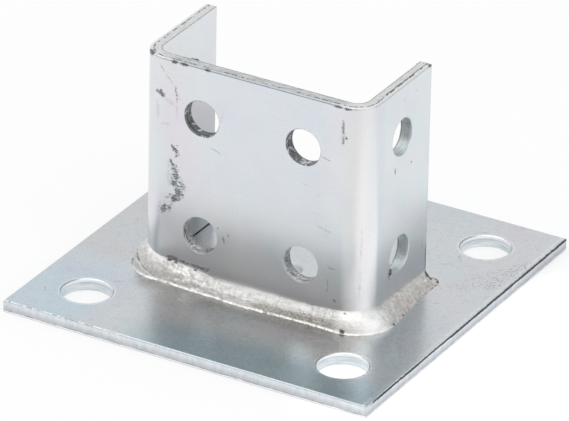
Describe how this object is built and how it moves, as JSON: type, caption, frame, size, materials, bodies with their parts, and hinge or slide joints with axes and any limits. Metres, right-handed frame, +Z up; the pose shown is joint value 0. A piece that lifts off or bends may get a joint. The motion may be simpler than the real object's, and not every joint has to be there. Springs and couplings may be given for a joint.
{
  "type": "square post base",
  "caption": "Square steel base plate with corner anchor holes and a welded channel that bolts round the foot of one or two strut posts.",
  "frame": {"origin": "middle of the base plate's underside", "axes": "+Z up along the posts, the channel's web faces -Y and its open side faces +Y, +X to the right seen from the web's side"},
  "size_m": [0.1524, 0.1524, 0.0937],
  "materials": {
    "plate_zinc": "bright zinc plate over mill-rolled steel, satin",
    "channel_zinc": "bright zinc plate over formed steel, satin with light scuffs",
    "weld_zinc": "zinc plate over a rippled weld bead, sparkling and rough"
  },
  "bodies": {
    "root": {"base_plate": "plate_zinc", "post_channel": "channel_zinc", "fillet_weld": "weld_zinc"}
  },
  "joints": []
}
